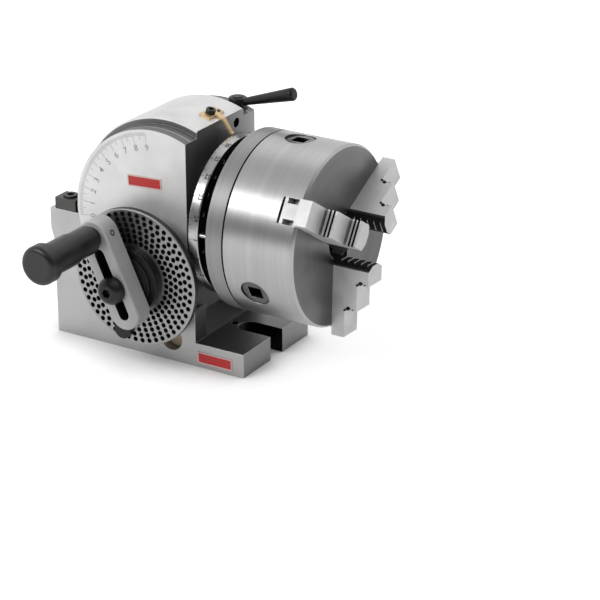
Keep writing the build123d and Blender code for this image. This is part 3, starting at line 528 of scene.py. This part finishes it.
def mouldedPlastic(name):
    look = plasticLook
    finish = Finish(name, Metallic=0.0, IOR=look["bend"])
    marks = finish.group(grindMarks, Stretch=even, Scale=look["marks"])
    film = finish.group(handling, Scale=look["smears"], Amount=look["smearAmount"])["Film"]
    finish.link(blendColour(finish.tree, film, look["tone"], look["filmTone"]), "Base Color")
    finish.link(finish.vary(film, look["roughVary"], look["rough"]), "Roughness")
    finish.bump(marks["Marks"], look["bump"], look["bumpDepth"])
    return finish.material


# brass and bronze, darker and redder under their film
brassLook = {"film": (0.7, 0.66, 0.6), "stretch": (1.0, 6.0, 6.0), "marks": 700.0, "smears": 140.0, "smearAmount": 0.8,
             "corner": 0.0003, "edge": 0.6, "edgeTone": (0.85, 0.68, 0.4, 1.0), "rough": 0.26, "roughVary": 0.2,
             "bump": 0.15, "bumpDepth": 0.00003}


def sheetBrass(name, tint=(0.76, 0.57, 0.33), bare=0.6):
    look = brassLook
    finish = Finish(name, Metallic=bare)
    marks = finish.group(grindMarks, Stretch=look["stretch"], Scale=look["marks"])
    edgeAndShade = finish.group(wearSheenAndShade, Radius=look["corner"])
    film = finish.group(handling, Scale=look["smears"], Amount=look["smearAmount"])["Film"]
    filmed = tuple(part * share for part, share in zip(tint, look["film"]))
    colour = blendColour(finish.tree, film, (*tint, 1.0), (*filmed, 1.0))
    finish.link(finish.coat(colour, edgeAndShade["Edge"], look["edge"], look["edgeTone"]), "Base Color")
    finish.link(finish.vary(marks["Marks"], look["roughVary"], look["rough"]), "Roughness")
    finish.bump(marks["Marks"], look["bump"], look["bumpDepth"], edgeAndShade["Normal"])
    return finish.material


# ink or enamel that fills small marks
inkLook = {"deep": 0.75, "cloud": (0.35, 0.65), "marks": 1200.0, "roughVary": 0.15, "roughDrop": 0.08}


def markInk(name, colour, rough=0.5):
    look = inkLook
    finish = Finish(name, Metallic=0.0)
    marks = finish.group(grindMarks, Stretch=even, Scale=look["marks"])["Marks"]
    deep = tuple(part * look["deep"] for part in colour[:3])
    finish.link(finish.cloud(marks, look["cloud"], colour, (*deep, 1.0)), "Base Color")
    finish.link(finish.vary(marks, look["roughVary"], rough - look["roughDrop"]), "Roughness")
    return finish.material


finishes = {
    "baseIron": groundIron("groundBaseIron", (0.06, 1.0, 1.0), baseMarks, 0.9, reach=0.018, tone=0.66),
    "housingIron": groundIron("groundHousingIron", (1.0, 1.0, 0.06), housingMarks, 0.4, tone=1.1),
    "blockIron": blackSteel("oiledBlockIron", tone=0.05, rough=0.45),
    # the chuck's front face is darkened as painted shade
    "chuck": turnedSteel("turnedChuck", 0.39, frontShadeTone=0.32, dark=seamMask, reach=0.012),
    "adaptor": turnedSteel("satinAdaptor", 0.55, tone=0.8, dark=seamMask),
    "dial": turnedSteel("blackFacedDial", 0.3, tone=1.05, dark=dialFaceMask, reach=0.0006),
    "spindle": turnedSteel("turnedSpindle", 0.32, tone=0.85),
    "plate": brightSteel("drilledPlate", even, tone=0.38, rough=0.38, dark=plateHoleMask),
    "jaw": brightSteel("groundJaw", (0.08, 1.0, 1.0), tone=0.73, rough=0.55, bare=0.6, dark=jawGripMask,
                       reach=0.006, shut=0.25),
    # the crank's wider, paler edges are a painted highlight along its chamfers
    "crank": brightSteel("polishedCrank", (1.0, 1.0, 0.08), tone=0.54, rough=0.4, bare=0.12, dark=crankSlotMask,
                         darkTone=0.006, edgeTone=1.0, wornSheen=0.0006),
    "pinion": brightSteel("turnedPinion", even, tone=0.12, rough=0.22, reach=0.012),
    "small": brightSteel("groundPin", even, tone=0.5, rough=0.3),
    "black": blackSteel("blackenedSteel"),
    "screw": blackSteel("blackenedScrew", tone=0.02, rough=0.3),
    "plastic": mouldedPlastic("mouldedKnob"),
    "brass": sheetBrass("sheetBrass"),
    # the plug's brass is paler than the rest, a painted highlight on the recessed plug
    "litPlugBrass": sheetBrass("litPlugBrass", (1.0, 0.84, 0.6), bare=0.1),
    "bronze": sheetBrass("wheelBronze", (0.55, 0.36, 0.16)),
    "ink": markInk("engravingInk", grey(0.05)),
    "scaleInk": markInk("paleScaleInk", grey(0.42)),
    "enamel": markInk("redEnamel", (0.64, 0.032, 0.034, 1.0), 0.4),
    "enamelEdge": markInk("paleBadgeEdge", (0.86, 0.62, 0.58, 1.0), 0.45),
}
print("materials", len(finishes))

wearing = {
    "baseIron": ("base",),
    "housingIron": ("swivel_housing",),
    "blockIron": ("clamp_block_front", "clamp_block_rear"),
    "chuck": ("chuck_body", "chuck_cover"),
    "adaptor": ("adaptor_plate",),
    "dial": ("dial",),
    "spindle": ("spindle", "front_bearing"),
    "plate": ("index_plate",),
    "jaw": ("jaw_1", "jaw_2", "jaw_3"),
    "crank": ("crank_arm",),
    "small": ("dial_pin", "plunger_pin", "worm_shaft", "scroll_plate"),
    "black": ("rear_nut", "worm_bush", "spring_ring", "sector_arm_a", "sector_arm_b", "crank_nut", "plunger_sleeve",
              "lock_stud", "lock_washer", "lock_lever"),
    "pinion": ("pinion_1", "pinion_2", "pinion_3"),
    "screw": ("clamp_screw_front", "clamp_screw_rear"),
    "plastic": ("plunger_knob",),
    "brass": ("pointer",),
    "litPlugBrass": ("base_plug",),
    "bronze": ("worm_wheel", "rear_bearing"),
}
for look, nodes in wearing.items():
    for node in nodes:
        for holder in cad[node].material_slots:
            holder.material = finishes[look]
        if not cad[node].material_slots:
            cad[node].data.materials.append(finishes[look])
print("finishes set on", sum(len(nodes) for nodes in wearing.values()), "solids")


def place(name, mesh, looks, body, slot):
    # a finished piece sits at the origin, with its place in its mesh
    while len(mesh.materials) < len(looks):
        mesh.materials.append(None)
    for k, look in enumerate(looks):
        mesh.materials[k] = finishes[look]
    piece = bpy.data.objects.new(name, mesh)
    scene.collection.objects.link(piece)
    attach(piece, body)


meshLook = {"weld": 1e-7}


def meshFrom(build):
    work = bmesh.new()
    build(work)
    bmesh.ops.remove_doubles(work, verts=work.verts, dist=meshLook["weld"])
    bmesh.ops.recalc_face_normals(work, faces=work.faces)
    mesh = bpy.data.meshes.new("work")
    work.to_mesh(mesh)
    work.free()
    return mesh


def bandFaces(work, loops):
    # walls between loops of equal length, and a face at each end
    walls = []
    count = len(loops[0])
    for low, high in zip(loops, loops[1:]):
        for k in range(count):
            walls.append(work.faces.new((low[k], low[(k + 1) % count], high[(k + 1) % count], high[k])))
    work.faces.new(loops[-1])
    work.faces.new(list(reversed(loops[0])))
    return walls


def frontFrame(x, out, z):
    # local x to the right, local y up, local z towards the front
    return Matrix(((1, 0, 0, x), (0, 0, -1, out), (0, 1, 0, z), (0, 0, 0, 1)))


def spindleFrame(x):
    # local z along the spindle, local x to the front
    return Matrix(((0, 0, 1, x), (-1, 0, 0, 0), (0, -1, 0, layout["centreHeight"]), (0, 0, 0, 1)))


def evaluatedMesh(holder):
    # the finished mesh of a passing object, which then goes
    bpy.context.view_layer.update()
    mesh = bpy.data.meshes.new_from_object(holder.evaluated_get(bpy.context.evaluated_depsgraph_get()))
    bpy.data.objects.remove(holder)
    return mesh


# Geometry Nodes: graduations round an axis, flat on a face or along a rim
def geometryTree(name, inputs):
    shape = "NodeSocketGeometry"
    return addSockets(bpy.data.node_groups.new(name, "GeometryNodeTree"), (("Geometry", shape, None), *inputs),
                      (("Geometry", shape),))


def dressInstances(tree, spread, material, result):
    solid = addNode(tree, "GeometryNodeRealizeInstances", {0: spread.outputs[0]})
    dressed = addNode(tree, "GeometryNodeSetMaterial", {"Geometry": solid.outputs[0], "Material": material})
    tree.links.new(dressed.outputs[0], result["Geometry"])


def makePolarTicks():
    whole, flag, look = "NodeSocketInt", "NodeSocketBool", "NodeSocketMaterial"
    tree, given, result = geometryTree("polarTicks", (
        ("Count", whole, 10), ("Start", number, 0.0), ("Step", number, 0.1), ("Radius", number, 0.05),
        ("Long", number, 0.004), ("Middle", number, 0.003), ("Short", number, 0.002), ("Width", number, 0.0003),
        ("Depth", number, 0.0001), ("Long Every", whole, 10), ("Middle Every", whole, 5), ("Along Rim", flag, False),
        ("Material", look, None),
    ))
    index = tree.nodes.new("GeometryNodeInputIndex").outputs[0]
    angle = calc(tree, "ADD", given["Start"], calc(tree, "MULTIPLY", index, given["Step"]))
    isLong = calc(tree, "LESS_THAN", calc(tree, "MODULO", index, given["Long Every"]), 0.5)
    isMiddle = calc(tree, "LESS_THAN", calc(tree, "MODULO", index, given["Middle Every"]), 0.5)

    def choose(kind, pick, no, yes):
        node = addNode(tree, "GeometryNodeSwitch", {0: pick}, input_type=kind)
        tree.links.new(no, node.inputs[1])
        tree.links.new(yes, node.inputs[2])
        return node.outputs[0]

    def triple(x, y, z):
        return addNode(tree, "ShaderNodeCombineXYZ", {0: x, 1: y, 2: z}).outputs[0]

    length = choose("FLOAT", isLong, choose("FLOAT", isMiddle, given["Short"], given["Middle"]), given["Long"])
    half = calc(tree, "MULTIPLY", length, 0.5)
    flatReach = calc(tree, "SUBTRACT", given["Radius"], half)
    cosine, sine = calc(tree, "COSINE", angle), calc(tree, "SINE", angle)

    def spot(reach, lift):
        return triple(calc(tree, "MULTIPLY", cosine, reach), calc(tree, "MULTIPLY", sine, reach), lift)

    position = choose("VECTOR", given["Along Rim"], spot(flatReach, 0.0), spot(given["Radius"], half))
    size = choose("VECTOR", given["Along Rim"], triple(length, given["Width"], given["Depth"]),
                  triple(given["Depth"], given["Width"], length))
    points = addNode(tree, "GeometryNodePoints", {"Count": given["Count"], "Position": position})
    tick = addNode(tree, "GeometryNodeMeshCube", {"Size": (1.0, 1.0, 1.0)})
    spread = addNode(tree, "GeometryNodeInstanceOnPoints", {
        "Points": points.outputs[0], "Instance": tick.outputs[0], "Rotation": triple(0.0, 0.0, angle), "Scale": size})
    dressInstances(tree, spread, given["Material"], result)
    return tree


def bakeTree(tree, host, values):
    # runs one tree on a host mesh and returns the result as a plain mesh
    carrier = bpy.data.objects.new("carrier", host)
    scene.collection.objects.link(carrier)
    modifier = carrier.modifiers.new("shape", "NODES")
    modifier.node_group = tree
    for item in tree.interface.items_tree:
        if item.item_type == "SOCKET" and item.in_out == "INPUT" and item.name in values:
            modifier[item.identifier] = values[item.name]
    return evaluatedMesh(carrier)


polarTicks = makePolarTicks()


def graduations(name, look, ink, start, step, radius, alongRim):
    return bakeTree(polarTicks, bpy.data.meshes.new(name), {
        "Count": look["count"], "Start": start, "Step": step, "Radius": radius, "Long": look["long"],
        "Middle": look["middle"], "Short": look["short"], "Width": look["width"], "Depth": look["depth"],
        "Long Every": look["longEvery"], "Middle Every": look["middleEvery"], "Along Rim": alongRim,
        "Material": finishes[ink]})


# degree scale on the front flange: one mark a degree, read against the base
degreeScale = {"first": 96.0, "count": 91, "apart": 1.0, "rim": 0.0632, "long": 0.0074, "middle": 0.0050,
               "short": 0.0024, "width": 0.00028, "depth": 0.00012, "longEvery": 10, "middleEvery": 5}
mesh = graduations("degreeHost", degreeScale, "scaleInk", radians(degreeScale["first"]), radians(degreeScale["apart"]),
                   degreeScale["rim"], False)
mesh.transform(frontFrame(0.0, layout["headFace"], layout["centreHeight"]))
place("degreeMarks", mesh, ("scaleInk",), "head", "black_steel")

# graduations along the dial's rim
dialScale = {"count": 72, "long": 0.0026, "middle": 0.0026, "short": 0.0016, "width": 0.00034, "depth": 0.00012,
             "longEvery": 3, "middleEvery": 3, "inset": 0.0006}
mesh = graduations("dialHost", dialScale, "ink", 0.0, 2 * pi / dialScale["count"], layout["dialRadius"], True)
mesh.transform(spindleFrame(layout["dialRear"] + dialScale["inset"]))
place("dialMarks", mesh, ("ink",), "spindle", "black_steel")
print("graduations made")


# numerals are cut from text, and joined into one mesh for each scale
def numeral(text, look):
    curve = bpy.data.curves.new("numeral", "FONT")
    curve.body = text
    curve.size = look["size"]
    curve.extrude = look["thick"]
    curve.align_x, curve.align_y = "CENTER", "CENTER"
    curve.resolution_u = look["smooth"]
    curve.offset = look["size"] * look["bold"]
    holder = bpy.data.objects.new("numeral", curve)
    scene.collection.objects.link(holder)
    return evaluatedMesh(holder)


def joinMeshes(meshes):
    work = bmesh.new()
    for mesh in meshes:
        work.from_mesh(mesh)
    joined = bpy.data.meshes.new("joined")
    work.to_mesh(joined)
    work.free()
    return joined


degreeNumerals = {"count": 10, "apart": 10.0, "radius": 0.0525, "size": 0.0062, "thick": 0.00005, "zeroAt": 186.0,
                  "bold": 0.012, "smooth": 3}
letters = []
for value in range(degreeNumerals["count"]):
    angle = radians(degreeNumerals["zeroAt"] - degreeNumerals["apart"] * value)
    reach = degreeNumerals["radius"]
    mesh = numeral(str(value), degreeNumerals)
    mesh.transform(Matrix.Translation((reach * cos(angle), reach * sin(angle), 0))
                   @ Matrix.Rotation(angle - pi / 2, 4, "Z"))
    mesh.transform(frontFrame(0.0, layout["headFace"], layout["centreHeight"]))
    letters.append(mesh)
place("degreeNumerals", joinMeshes(letters), ("scaleInk",), "head", "black_steel")

dialNumerals = {"count": 24, "size": 0.0046, "thick": 0.00008, "along": 0.0057, "bold": 0.03, "smooth": 3}
letters = []
for value in range(dialNumerals["count"]):
    angle = 2 * pi * value / dialNumerals["count"]
    mesh = numeral(str(value + 1), dialNumerals)
    for corner in mesh.vertices:  # bent round the rim, its top towards the chuck
        turn = angle + corner.co.x / layout["dialRadius"]
        reach = layout["dialRadius"] + corner.co.z
        corner.co = (reach * cos(turn), reach * sin(turn), dialNumerals["along"] + corner.co.y)
    mesh.transform(spindleFrame(layout["dialRear"]))
    letters.append(mesh)
place("dialNumerals", joinMeshes(letters), ("ink",), "spindle", "black_steel")
print("numerals made")

# a socket cap screw, head up along local z, drawn for a head radius of one: radius, height, hexagon or not
screwLook = {"sides": 24, "rings": ((1.0, -0.15, False), (1.0, 0.88, False), (0.93, 1.0, False), (0.68, 1.0, False),
                                    (0.58, 0.97, True), (0.58, 0.35, True))}


def capScrewMesh():
    def build(work):
        sides = screwLook["sides"]
        loops = []
        for radius, height, hexagon in screwLook["rings"]:
            loop = []
            for k in range(sides):
                angle = 2 * pi * k / sides
                wedge = (angle + pi / 6) % (pi / 3) - pi / 6
                reach = radius * cos(pi / 6) / cos(wedge) if hexagon else radius
                loop.append(work.verts.new((reach * cos(angle), reach * sin(angle), height)))
            loops.append(loop)
        bandFaces(work, loops)
    return meshFrom(build)


def makeScrewSet():
    tree, given, result = geometryTree("screwSet", (
        ("Screw", "NodeSocketObject", None), ("Material", "NodeSocketMaterial", None)))
    lie = addNode(tree, "GeometryNodeInputNamedAttribute", {"Name": "lie"}, data_type="FLOAT_VECTOR").outputs[0]
    reach = addNode(tree, "GeometryNodeInputNamedAttribute", {"Name": "reach"}, data_type="FLOAT").outputs[0]
    shape = addNode(tree, "GeometryNodeObjectInfo", {"Object": given["Screw"]}).outputs["Geometry"]
    spread = addNode(tree, "GeometryNodeInstanceOnPoints", {
        "Points": given["Geometry"], "Instance": shape, "Rotation": lie, "Scale": reach})
    dressInstances(tree, spread, given["Material"], result)
    return tree


screwSet = makeScrewSet()
screwShape = bpy.data.objects.new("screwShape", capScrewMesh())
scene.collection.objects.link(screwShape)


def screws(name, spots, body):
    # spots: place, way the head faces, head radius
    host = bpy.data.meshes.new(name + "Host")
    host.from_pydata([spot for spot, way, radius in spots], [], [])
    host.attributes.new("lie", "FLOAT_VECTOR", "POINT")
    host.attributes.new("reach", "FLOAT", "POINT")
    for k, (spot, way, radius) in enumerate(spots):
        host.attributes["lie"].data[k].vector = Vector(way).to_track_quat("Z", "Y").to_euler()
        host.attributes["reach"].data[k].value = radius
    mesh = bakeTree(screwSet, host, {"Screw": screwShape, "Material": finishes["screw"]})
    place(name, mesh, ("screw",), body, "black_steel")


headScrews = {"pointer": (0.018, -0.001, 0.1688), "pointerRadius": 0.0034, "peg": (0.0195, 0.0068, 0.1676),
              "pegRadius": 0.0014, "tilt": (0.257, 0.0, 0.966)}
screws("headScrews", [(headScrews["pointer"], headScrews["tilt"], headScrews["pointerRadius"]),
                      (headScrews["peg"], headScrews["tilt"], headScrews["pegRadius"])], "head")

# a set screw sunk in the crank's edge
crankScrew = {"along": 0.036, "half": 0.0115, "out": -0.0785, "radius": 0.0022, "sink": 0.0020}
lean = radians(layout["crankLean"])
side = crankScrew["half"] - crankScrew["sink"]
screws("crankScrew", [((layout["wormX"] - sin(lean) * crankScrew["along"] + cos(lean) * side, crankScrew["out"],
                        layout["wormZ"] + cos(lean) * crankScrew["along"] + sin(lean) * side),
                       (cos(lean), 0, sin(lean)), crankScrew["radius"])], "crank")

# the chuck's fixing screws behind the adaptor
adaptorScrews = {"circle": 0.048, "face": 0.0526, "radius": 0.0045, "count": 3, "first": 30.0}
spots = []
for k in range(adaptorScrews["count"]):
    angle = radians(adaptorScrews["first"] + 360 * k / adaptorScrews["count"])
    spots.append(((adaptorScrews["face"], adaptorScrews["circle"] * cos(angle),
                   layout["centreHeight"] + adaptorScrews["circle"] * sin(angle)), (-1, 0, 0), adaptorScrews["radius"]))
screws("adaptorScrews", spots, "spindle")
bpy.data.objects.remove(screwShape)
print("screws made")

# blank red badges with a pale raised edge
badgeLook = {"edge": 0.0008, "rise": 0.0005, "sunk": 0.7, "corner": 0.0005, "cornerSteps": 4}


def badge(name, body, centre, width, height, tilt):
    look = badgeLook

    def build(work):
        outline = []
        for sx, sy, first in ((1, 1, 0), (-1, 1, 90), (-1, -1, 180), (1, -1, 270)):
            for k in range(look["cornerSteps"] + 1):
                angle = radians(first + 90 * k / look["cornerSteps"])
                outline.append((sx * (width / 2 - look["corner"]) + look["corner"] * cos(angle),
                                sy * (height / 2 - look["corner"]) + look["corner"] * sin(angle)))
        inner = [(x * (1 - 2 * look["edge"] / width), y * (1 - 2 * look["edge"] / height)) for x, y in outline]
        rows = ((outline, 0.0), (outline, look["rise"]), (inner, look["rise"]), (inner, look["rise"] * look["sunk"]))
        for face in bandFaces(work, [[work.verts.new((x, y, level)) for x, y in row] for row, level in rows]):
            face.material_index = 1

    mesh = meshFrom(build)
    mesh.transform(Matrix.Rotation(radians(tilt), 4, "Z"))
    mesh.transform(frontFrame(centre[0], layout["headFace"], centre[1]))
    place(name, mesh, ("enamel", "enamelEdge"), body, "black_plastic")


headBadge = {"centre": (-0.0081, 0.1274), "width": 0.0275, "height": 0.0080, "tilt": 3.0}
badge("headBadge", "head", **headBadge)
baseBadge = {"centre": (0.0463, 0.0076), "width": 0.0278, "height": 0.0083, "tilt": 0.0}
badge("baseBadge", "base", **baseBadge)
print("badges made")


def mirrorRays(tree, seen):
    return calc(tree, "MAXIMUM", seen["Is Glossy Ray"], seen["Is Transmission Ray"])


# plain pale floor that keeps the shadow
stageLook = {"half": 6.0, "floor": 0.82, "rough": 0.9, "shine": 0.1, "lift": 0.58, "near": 0.28, "far": 0.8,
             "contact": 0.035, "covered": (0.45, 0.95), "least": 0.1, "mirror": 0.78}
floorMesh = bpy.data.meshes.new("floor")
half = stageLook["half"]
floorMesh.from_pydata([(-half, -half, 0), (half, -half, 0), (half, half, 0), (-half, half, 0)], [], [(0, 1, 2, 3)])
floor = bpy.data.objects.new("floor", floorMesh)
scene.collection.objects.link(floor)
floorLook = bpy.data.materials.new("paleFloor")
floorLook.use_nodes = True
tree = floorLook.node_tree
seen = addNode(tree, "ShaderNodeLightPath").outputs
reflected = calc(tree, "MULTIPLY", mirrorRays(tree, seen), stageLook["mirror"])
shown = calc(tree, "MAXIMUM", seen["Is Camera Ray"], reflected)
paper = tree.nodes["Principled BSDF"]
paper.inputs["Base Color"].default_value = grey(stageLook["floor"])
paper.inputs["Roughness"].default_value = stageLook["rough"]
paper.inputs["Specular IOR Level"].default_value = stageLook["shine"]
spot = addNode(tree, "ShaderNodeTexCoord").outputs["Object"]
away = addNode(tree, "ShaderNodeVectorMath", {0: spot}, operation="LENGTH").outputs["Value"]
lift = remap(tree, away, stageLook["near"], stageLook["far"], stageLook["lift"], 1.0)
# the light under the part fades where its foot meets the floor
clear = addNode(tree, "ShaderNodeAmbientOcclusion", {"Distance": stageLook["contact"]}).outputs["AO"]
lift = calc(tree, "MULTIPLY", lift, remap(tree, clear, *stageLook["covered"], stageLook["least"], 1.0))
glow = addNode(tree, "ShaderNodeEmission", {"Color": grey(1.0), "Strength": calc(tree, "MULTIPLY", shown, lift)})
both = addNode(tree, "ShaderNodeAddShader", {0: paper.outputs[0], 1: glow.outputs[0]})
tree.links.new(both.outputs[0], tree.nodes["Material Output"].inputs["Surface"])
floorMesh.materials.append(floorLook)

# grey walls; in mirrors they are white, with a dimmer ceiling and a dark wall behind the lens
roomLook = {"walls": 0.46, "dark": 0.05, "ceiling": 0.6, "lensWay": (0.56, 0.83), "lensSpan": (-0.25, 0.45),
            "lensTop": (0.9, 0.55), "ceilingSpan": (0.7, 0.97)}
world = bpy.data.worlds.new("studio")
scene.world = world
world.use_nodes = True
tree = world.node_tree
seen = addNode(tree, "ShaderNodeLightPath").outputs
ray = addNode(tree, "ShaderNodeTexCoord").outputs["Generated"]
way = addNode(tree, "ShaderNodeSeparateXYZ", {0: ray}).outputs
lensSide = calc(tree, "SUBTRACT", calc(tree, "MULTIPLY", way[0], roomLook["lensWay"][0]),
                calc(tree, "MULTIPLY", way[1], roomLook["lensWay"][1]))
behindLens = calc(tree, "MULTIPLY", remap(tree, lensSide, *roomLook["lensSpan"]),
                  remap(tree, way[2], *roomLook["lensTop"]))
dim = calc(tree, "MAXIMUM", behindLens, remap(tree, way[2], *roomLook["ceilingSpan"], 0.0, roomLook["ceiling"]))
mirrored = mirrorRays(tree, seen)
room = blendColour(tree, calc(tree, "MULTIPLY", mirrored, dim), grey(roomLook["walls"]), grey(roomLook["dark"]))
bright = calc(tree, "MULTIPLY", mirrored, calc(tree, "SUBTRACT", 1.0, dim))
backdrop = calc(tree, "MAXIMUM", seen["Is Camera Ray"], bright)
background = tree.nodes["Background"]
tree.links.new(blendColour(tree, backdrop, room, grey(1.0)), background.inputs["Color"])
background.inputs["Strength"].default_value = 1.0


def softbox(name, spot, aim, width, height, watts):
    lamp = bpy.data.lights.new(name, "AREA")
    lamp.shape = "RECTANGLE"
    lamp.size, lamp.size_y, lamp.energy = width, height, watts
    holder = bpy.data.objects.new(name, lamp)
    holder.location = spot
    holder.rotation_euler = (Vector(aim) - Vector(spot)).to_track_quat("-Z", "Y").to_euler()
    scene.collection.objects.link(holder)


keyBox = {"spot": (-0.75, -1.45, 1.25), "aim": (0.0, 0.0, 0.09), "width": 1.1, "height": 0.65, "watts": 14.5}
softbox("keyBox", **keyBox)
topBox = {"spot": (0.1, 0.75, 1.8), "aim": (0.0, 0.0, 0.08), "width": 1.6, "height": 1.0, "watts": 5.0}
softbox("topBox", **topBox)

# the photograph's own view: place in metres, angles in degrees, lens in millimetres
photoView = {"spot": (0.8095, -1.1914, 0.6485), "down": 23.37, "round": 31.19, "lens": 133.4, "sensor": 36.0}
lens = bpy.data.cameras.new("photoCamera")
lens.lens, lens.sensor_width = photoView["lens"], photoView["sensor"]
camera = bpy.data.objects.new("photoCamera", lens)
camera.location = photoView["spot"]
camera.rotation_euler = (radians(90 - photoView["down"]), 0.0, radians(photoView["round"]))
scene.collection.objects.link(camera)
scene.camera = camera
scene.view_settings.view_transform = "Standard"
print("stage, lamps and camera set")
